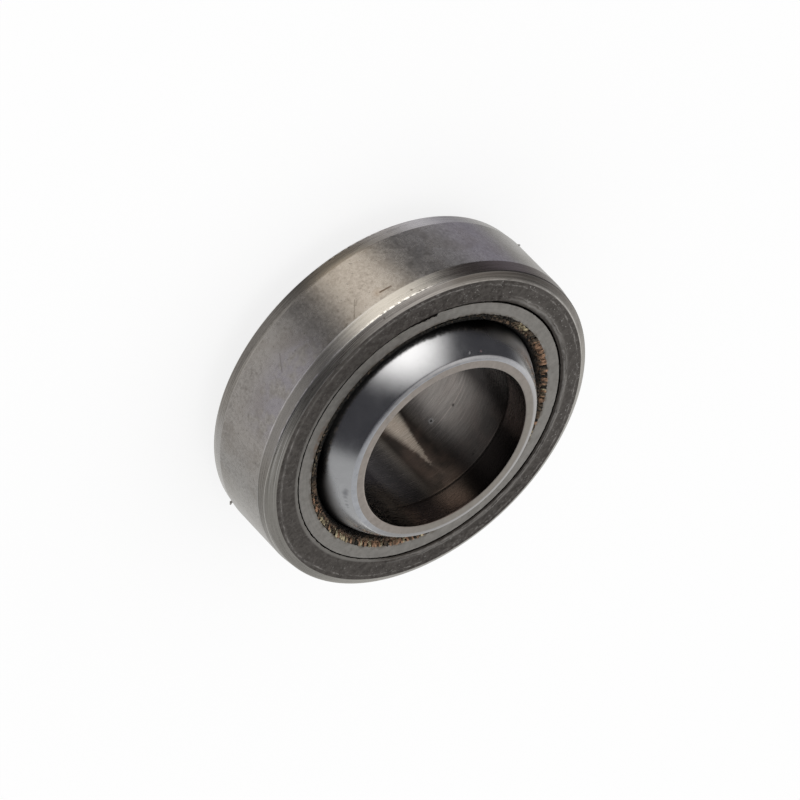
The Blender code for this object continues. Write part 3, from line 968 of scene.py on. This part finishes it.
def make_yarn_ends():
    """The cut ends of the woven liner's yarns, which stand round both mouths.

    Tufts lie outwards from the liner's end to the race's edge, and short stubs stand between them.
    """
    materials = [yarn(name, dark, pale) for name, (dark, pale) in YARN_COLOURS.items()]
    draw = random.Random(YARN_SEED)
    outer, height = LINER_LAND_OUTER
    vertices = []
    faces = []
    slots = []

    def add(points, radius, kind):
        new, flat = tube(points, radius, 5, len(vertices))
        vertices.extend(new)
        faces.extend(flat)
        slots.extend([kind] * len(flat))

    def place_yarn(i, count, jitter):
        """A yarn's angle, its directions outwards and round the bearing, and the fringe there."""
        angle = 2 * math.pi * (i + draw.uniform(-jitter, jitter)) / count
        out = Vector((math.cos(angle), -math.sin(angle), 0))
        return angle, out, Vector((out.y, -out.x, 0)), fringe_at(math.degrees(angle))

    for side in (1, -1):
        up = Vector((0, 0, side))
        for i in range(TUFT_COUNT):
            angle, out, round_way, (depth, overlap, *shares) = place_yarn(i, TUFT_COUNT, 0.35)
            level = 0.5 + 0.9 * ragged(angle, 150, 4.0 * side) + draw.uniform(-0.18, 0.18)
            kind = 0
            while kind < 3 and level > sum(shares[:kind + 1]):
                kind += 1
            inset = draw.uniform(0.45, 1.0) * depth * MM
            reach = draw.uniform(0.0, 1.0) * overlap * MM
            lean = draw.uniform(-0.28, 0.28) * MM
            stand = min(1.0, overlap / 0.10)
            lift = (draw.uniform(0.0, 0.12) * stand - 0.15 * (1 - stand)) * MM
            for fibre in range(TUFT_FIBRES):
                aside = (fibre - TUFT_FIBRES / 2 + 0.5) * 0.075 * MM + draw.uniform(-0.03, 0.03) * MM
                start = round_way * aside + out * (outer - inset * draw.uniform(0.8, 1.0))
                root = start + up * (height - 0.06 * MM)
                knee = root + out * inset * 0.7 + round_way * lean * 0.6
                knee += up * (HALF_WIDTH - height + lift)
                tip = start + out * (inset + reach * draw.uniform(0.6, 1.1)) + round_way * lean
                tip += up * (HALF_WIDTH + 0.06 * MM + lift * draw.uniform(0.4, 1.0))
                add([root, knee, tip], draw.uniform(0.055, 0.085) * MM, kind)
        for i in range(STUB_COUNT):
            angle, out, round_way, (depth, overlap, *shares) = place_yarn(i, STUB_COUNT, 1.0)
            inset = draw.random() * depth * (1 + 0.5 * ragged(angle, 70, side)) * MM
            root = out * (outer - 0.02 * MM - inset) + up * (height - 0.08 * MM)
            rise = draw.uniform(0.06, 0.20) * MM
            lean_out = draw.uniform(-0.25, 0.10) * MM
            lean_round = draw.uniform(-0.20, 0.20) * MM
            knee = root + up * rise + round_way * lean_round * 0.4 + out * lean_out * 0.3
            tip = knee + out * lean_out + round_way * lean_round + up * draw.uniform(-0.08, 0.05) * MM
            shade = min(1.9, max(0.1, 1 + 3.0 * ragged(angle, 130, 2.0 * side + inset / MM)))
            tan, orange, brown, dark = shares
            weights = (tan * 0.5 * shade, orange * 0.7 * shade, brown, dark * (2 - shade))
            kind = draw.choices(range(4), weights)[0]
            add([root, knee, tip], draw.uniform(0.07, 0.13) * MM, kind)
    seat_on(new_object("liner_yarn_ends", vertices, faces, materials, slots), "liner", "liner_fabric")


def make_burrs():
    """Two small turned-up burrs on the sleeve's back corner, seen on its outline."""
    steel = burr_steel()
    for name, thickness, *path in SLEEVE_BURRS:
        points = [Vector(surface_point(*place)) * MM for place in path]
        vertices, faces = tube(points, thickness * MM, 6, 0)
        burr = new_object(name, vertices, faces, [steel], [0] * len(faces))
        seat_on(burr, "housing", "sleeve_steel")


# Camera, floor and light


def camera_axes():
    """The camera's right, up and backward directions."""
    right = Vector((1, 0, 0))
    up = Vector((0, math.sin(CAMERA_ELEVATION), math.cos(CAMERA_ELEVATION)))
    back = Vector((0, -math.cos(CAMERA_ELEVATION), math.sin(CAMERA_ELEVATION)))
    rolled_right = right * math.cos(CAMERA_ROLL) + up * math.sin(CAMERA_ROLL)
    rolled_up = up * math.cos(CAMERA_ROLL) - right * math.sin(CAMERA_ROLL)
    return rolled_right, rolled_up, back


def studio_direction(azimuth, elevation):
    """A direction in the studio: azimuth from the camera towards its right, elevation up."""
    right, up, back = camera_axes()
    a = math.radians(azimuth)
    e = math.radians(elevation)
    level = back * math.cos(a) + right * math.sin(a)
    return level * math.cos(e) + up * math.sin(e)


def make_camera():
    right, up, back = camera_axes()
    data = bpy.data.cameras.new("photographer")
    data.sensor_width = SENSOR_WIDTH_MM
    data.lens = PX_PER_MM * (CAMERA_DISTANCE / MM) * SENSOR_WIDTH_MM / IMAGE_SIDE_PX
    data.shift_x = (IMAGE_SIDE_PX / 2 - OBJECT_CENTRE_PX[0]) / IMAGE_SIDE_PX
    data.shift_y = (OBJECT_CENTRE_PX[1] - IMAGE_SIDE_PX / 2) / IMAGE_SIDE_PX
    data.clip_start = 0.01
    data.clip_end = 20.0
    camera = bpy.data.objects.new("photographer", data)
    bpy.context.scene.collection.objects.link(camera)
    rotation = Matrix((right, up, back)).transposed().to_4x4()
    camera.matrix_world = Matrix.Translation(back * CAMERA_DISTANCE) @ rotation
    bpy.context.scene.camera = camera


def make_floor():
    """A plain white table top that keeps the bearing's soft shadow.

    The metal looks through it at the studio's own background.
    """
    low = -LAND_EDGE[1]
    corners = [(x * FLOOR_REACH, y * FLOOR_REACH, low) for x, y in ((-1, -1), (1, -1), (1, 1), (-1, 1))]
    material = bpy.data.materials.new("floor_white")
    material.use_nodes = True
    nodes = Nodes(material.node_tree)
    nodes.tree.nodes.clear()
    glow = nodes.add("ShaderNodeEmission")
    matt = nodes.add("ShaderNodeBsdfDiffuse")
    nodes.put(WHITE, matt.inputs["Color"])
    clear = nodes.add("ShaderNodeBsdfTransparent")
    paper = nodes.filled("ShaderNodeMixShader", (FLOOR_MATT_SHARE, glow.outputs[0], matt.outputs[0]))
    by_metal = nodes.add("ShaderNodeLightPath").outputs["Is Glossy Ray"]
    seen = nodes.filled("ShaderNodeMixShader", (by_metal, paper.outputs[0], clear.outputs[0]))
    nodes.filled("ShaderNodeOutputMaterial", seen.outputs)
    floor = new_object("floor", corners, [(0, 1, 2, 3)], [material], [0])


def make_world():
    """A soft studio: an overhead softbox, a white backdrop, pale surroundings and a dim room."""
    world = bpy.data.worlds.new("studio")
    world.use_nodes = True
    nodes = Nodes(world.node_tree)
    nodes.tree.nodes.clear()
    ray = nodes.add("ShaderNodeTexCoord").outputs["Generated"]

    def patch(aim, spread):
        """One near a studio direction, fading to zero between two angles from it."""
        angle = nodes.math("ARCCOSINE", nodes.measure("DOT_PRODUCT", ray, studio_direction(*aim)))
        return nodes.fade(angle, math.radians(spread[0]), math.radians(spread[1]))

    colour = ROOM_COLOUR
    for aim, spread, patch_colour in STUDIO_PATCHES.values():
        colour = nodes.mix(patch(aim, spread), colour, patch_colour)
    softbox = patch(SOFTBOX_AIM, SOFTBOX_SPREAD)
    colour = nodes.mix(softbox, colour, SOFTBOX_COLOUR)

    path = nodes.add("ShaderNodeLightPath")
    soft_level = nodes.ramp(softbox, 0.0, 1.0, *SOFT_LIGHT)
    soft_light = nodes.filled("ShaderNodeCombineColor", (soft_level,) * 3)
    seen = nodes.mix(path.outputs["Is Diffuse Ray"], colour, soft_light.outputs[0])
    straight = nodes.larger(path.outputs["Is Camera Ray"], path.outputs["Is Transmission Ray"])
    seen = nodes.mix(straight, seen, WHITE)
    background = nodes.filled("ShaderNodeBackground", (seen,))
    nodes.filled("ShaderNodeOutputWorld", background.outputs)
    bpy.context.scene.world = world


make_camera()
make_sleeve()
make_race()
make_inner_ring()
make_liner()
make_yarn_ends()
make_burrs()
make_floor()
make_world()
bpy.context.scene.view_settings.view_transform = "Standard"
